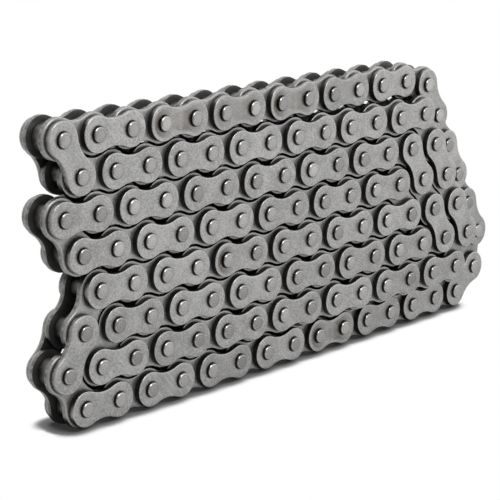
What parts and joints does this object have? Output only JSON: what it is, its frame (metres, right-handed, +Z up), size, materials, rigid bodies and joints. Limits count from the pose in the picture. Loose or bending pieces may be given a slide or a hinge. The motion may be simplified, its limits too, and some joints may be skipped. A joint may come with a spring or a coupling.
{
  "type": "motorcycle roller chain",
  "caption": "Steel roller chain for a motorcycle, standing on edge as a loop folded into nested rows, with waisted plates, riveted pins and free rollers; its top run swings link by link.",
  "frame": {"origin": "on the ground, below the middle of the bundle's bounding box", "axes": "+X along the rows from the free end to the outer turn, +Y away from the front, +Z up"},
  "size_m": [0.2609, 0.024, 0.1113],
  "materials": {
    "outer_plate": "satin, tumbled",
    "inner_plate": "satin, tumbled",
    "pin": "ground, riveted ends",
    "bushing": "dark, oiled",
    "roller": "dark, oiled"
  },
  "bodies": {
    "bundle": {"outer_loop_inner_plates": "inner_plate", "outer_loop_outer_plates": "outer_plate", "outer_loop_bushings": "bushing", "outer_loop_rollers": "roller", "outer_loop_pins": "pin", "core_inner_plates": "inner_plate", "core_outer_plates": "outer_plate", "core_bushings": "bushing", "core_rollers": "roller", "core_pins": "pin", "inner_loop_inner_plates": "inner_plate", "inner_loop_outer_plates": "outer_plate", "inner_loop_bushings": "bushing", "inner_loop_rollers": "roller", "inner_loop_pins": "pin", "second_run_inner_plates": "inner_plate", "second_run_outer_plates": "outer_plate", "second_run_bushings": "bushing", "second_run_rollers": "roller", "second_run_pins": "pin"},
    "top_link_13": {"top_link_13_plates": "inner_plate", "top_link_13_bushings": "bushing"},
    "top_link_13_roller_a": {"top_link_13_roller_a": "roller"},
    "top_link_13_roller_b": {"top_link_13_roller_b": "roller"},
    "top_link_12": {"top_link_12_plates": "outer_plate", "top_link_12_pins": "pin"},
    "top_link_11": {"top_link_11_plates": "inner_plate", "top_link_11_bushings": "bushing"},
    "top_link_11_roller_a": {"top_link_11_roller_a": "roller"},
    "top_link_11_roller_b": {"top_link_11_roller_b": "roller"},
    "top_link_10": {"top_link_10_plates": "outer_plate", "top_link_10_pins": "pin"},
    "top_link_09": {"top_link_09_plates": "inner_plate", "top_link_09_bushings": "bushing"},
    "top_link_09_roller_a": {"top_link_09_roller_a": "roller"},
    "top_link_09_roller_b": {"top_link_09_roller_b": "roller"},
    "top_link_08": {"top_link_08_plates": "outer_plate", "top_link_08_pins": "pin"},
    "top_link_07": {"top_link_07_plates": "inner_plate", "top_link_07_bushings": "bushing"},
    "top_link_07_roller_a": {"top_link_07_roller_a": "roller"},
    "top_link_07_roller_b": {"top_link_07_roller_b": "roller"},
    "top_link_06": {"top_link_06_plates": "outer_plate", "top_link_06_pins": "pin"},
    "top_link_05": {"top_link_05_plates": "inner_plate", "top_link_05_bushings": "bushing"},
    "top_link_05_roller_a": {"top_link_05_roller_a": "roller"},
    "top_link_05_roller_b": {"top_link_05_roller_b": "roller"},
    "top_link_04": {"top_link_04_plates": "outer_plate", "top_link_04_pins": "pin"},
    "top_link_03": {"top_link_03_plates": "inner_plate", "top_link_03_bushings": "bushing"},
    "top_link_03_roller_a": {"top_link_03_roller_a": "roller"},
    "top_link_03_roller_b": {"top_link_03_roller_b": "roller"},
    "top_link_02": {"top_link_02_plates": "outer_plate", "top_link_02_pins": "pin"},
    "top_link_01": {"top_link_01_plates": "inner_plate", "top_link_01_bushings": "bushing"},
    "top_link_01_roller_a": {"top_link_01_roller_a": "roller"},
    "top_link_01_roller_b": {"top_link_01_roller_b": "roller"}
  },
  "joints": [
    {"name": "top_link_13_pivot", "type": "hinge", "parent": "bundle", "child": "top_link_13", "pos_m": [0.08308, 0.00173, 0.10069], "axis": [-0.0343, 0.9994, 0], "range_deg": [0, 24]},
    {"name": "top_link_13_roller_a_spin", "type": "hinge", "parent": "top_link_13", "child": "top_link_13_roller_a", "pos_m": [0.06751, 0.00119, 0.10377], "axis": [-0.0343, 0.9994, 0], "continuous": true},
    {"name": "top_link_13_roller_b_spin", "type": "hinge", "parent": "top_link_13", "child": "top_link_13_roller_b", "pos_m": [0.08308, 0.00173, 0.10069], "axis": [-0.0343, 0.9994, 0], "continuous": true},
    {"name": "top_link_12_pivot", "type": "hinge", "parent": "top_link_13", "child": "top_link_12", "pos_m": [0.06751, 0.00119, 0.10377], "axis": [-0.0343, 0.9994, 0], "range_deg": [0, 24]},
    {"name": "top_link_11_pivot", "type": "hinge", "parent": "top_link_12", "child": "top_link_11", "pos_m": [0.05165, 0.00065, 0.10377], "axis": [-0.0343, 0.9994, 0], "range_deg": [0, 24]},
    {"name": "top_link_11_roller_a_spin", "type": "hinge", "parent": "top_link_11", "child": "top_link_11_roller_a", "pos_m": [0.03578, 0.0001, 0.10377], "axis": [-0.0343, 0.9994, 0], "continuous": true},
    {"name": "top_link_11_roller_b_spin", "type": "hinge", "parent": "top_link_11", "child": "top_link_11_roller_b", "pos_m": [0.05165, 0.00065, 0.10377], "axis": [-0.0343, 0.9994, 0], "continuous": true},
    {"name": "top_link_10_pivot", "type": "hinge", "parent": "top_link_11", "child": "top_link_10", "pos_m": [0.03578, 0.0001, 0.10377], "axis": [-0.0343, 0.9994, 0], "range_deg": [0, 24]},
    {"name": "top_link_09_pivot", "type": "hinge", "parent": "top_link_10", "child": "top_link_09", "pos_m": [0.01992, -0.00044, 0.10377], "axis": [-0.0343, 0.9994, 0], "range_deg": [0, 24]},
    {"name": "top_link_09_roller_a_spin", "type": "hinge", "parent": "top_link_09", "child": "top_link_09_roller_a", "pos_m": [0.00405, -0.00099, 0.10377], "axis": [-0.0343, 0.9994, 0], "continuous": true},
    {"name": "top_link_09_roller_b_spin", "type": "hinge", "parent": "top_link_09", "child": "top_link_09_roller_b", "pos_m": [0.01992, -0.00044, 0.10377], "axis": [-0.0343, 0.9994, 0], "continuous": true},
    {"name": "top_link_08_pivot", "type": "hinge", "parent": "top_link_09", "child": "top_link_08", "pos_m": [0.00405, -0.00099, 0.10377], "axis": [-0.0343, 0.9994, 0], "range_deg": [0, 24]},
    {"name": "top_link_07_pivot", "type": "hinge", "parent": "top_link_08", "child": "top_link_07", "pos_m": [-0.01181, -0.00153, 0.10377], "axis": [-0.0343, 0.9994, 0], "range_deg": [0, 24]},
    {"name": "top_link_07_roller_a_spin", "type": "hinge", "parent": "top_link_07", "child": "top_link_07_roller_a", "pos_m": [-0.02768, -0.002, 0.10377], "axis": [-0.0294, 0.9996, 0], "continuous": true},
    {"name": "top_link_07_roller_b_spin", "type": "hinge", "parent": "top_link_07", "child": "top_link_07_roller_b", "pos_m": [-0.01181, -0.00153, 0.10377], "axis": [-0.0294, 0.9996, 0], "continuous": true},
    {"name": "top_link_06_pivot", "type": "hinge", "parent": "top_link_07", "child": "top_link_06", "pos_m": [-0.02768, -0.002, 0.10377], "axis": [-0.0245, 0.9997, 0], "range_deg": [0, 24]},
    {"name": "top_link_05_pivot", "type": "hinge", "parent": "top_link_06", "child": "top_link_05", "pos_m": [-0.04355, -0.00239, 0.10377], "axis": [-0.0245, 0.9997, 0], "range_deg": [0, 24]},
    {"name": "top_link_05_roller_a_spin", "type": "hinge", "parent": "top_link_05", "child": "top_link_05_roller_a", "pos_m": [-0.05942, -0.0027, 0.10377], "axis": [-0.0196, 0.9998, 0], "continuous": true},
    {"name": "top_link_05_roller_b_spin", "type": "hinge", "parent": "top_link_05", "child": "top_link_05_roller_b", "pos_m": [-0.04355, -0.00239, 0.10377], "axis": [-0.0196, 0.9998, 0], "continuous": true},
    {"name": "top_link_04_pivot", "type": "hinge", "parent": "top_link_05", "child": "top_link_04", "pos_m": [-0.05942, -0.0027, 0.10377], "axis": [-0.0147, 0.9999, 0], "range_deg": [0, 24]},
    {"name": "top_link_03_pivot", "type": "hinge", "parent": "top_link_04", "child": "top_link_03", "pos_m": [-0.0753, -0.00293, 0.10377], "axis": [-0.0147, 0.9999, 0], "range_deg": [0, 24]},
    {"name": "top_link_03_roller_a_spin", "type": "hinge", "parent": "top_link_03", "child": "top_link_03_roller_a", "pos_m": [-0.09117, -0.00309, 0.10377], "axis": [-0.0098, 1, 0], "continuous": true},
    {"name": "top_link_03_roller_b_spin", "type": "hinge", "parent": "top_link_03", "child": "top_link_03_roller_b", "pos_m": [-0.0753, -0.00293, 0.10377], "axis": [-0.0098, 1, 0], "continuous": true},
    {"name": "top_link_02_pivot", "type": "hinge", "parent": "top_link_03", "child": "top_link_02", "pos_m": [-0.09117, -0.00309, 0.10377], "axis": [-0.0049, 1, 0], "range_deg": [0, 24]},
    {"name": "top_link_01_pivot", "type": "hinge", "parent": "top_link_02", "child": "top_link_01", "pos_m": [-0.10705, -0.00317, 0.10377], "axis": [-0.0049, 1, 0], "range_deg": [0, 24]},
    {"name": "top_link_01_roller_a_spin", "type": "hinge", "parent": "top_link_01", "child": "top_link_01_roller_a", "pos_m": [-0.12292, -0.00317, 0.10377], "axis": [0, 1, 0], "continuous": true},
    {"name": "top_link_01_roller_b_spin", "type": "hinge", "parent": "top_link_01", "child": "top_link_01_roller_b", "pos_m": [-0.10705, -0.00317, 0.10377], "axis": [0, 1, 0], "continuous": true}
  ]
}
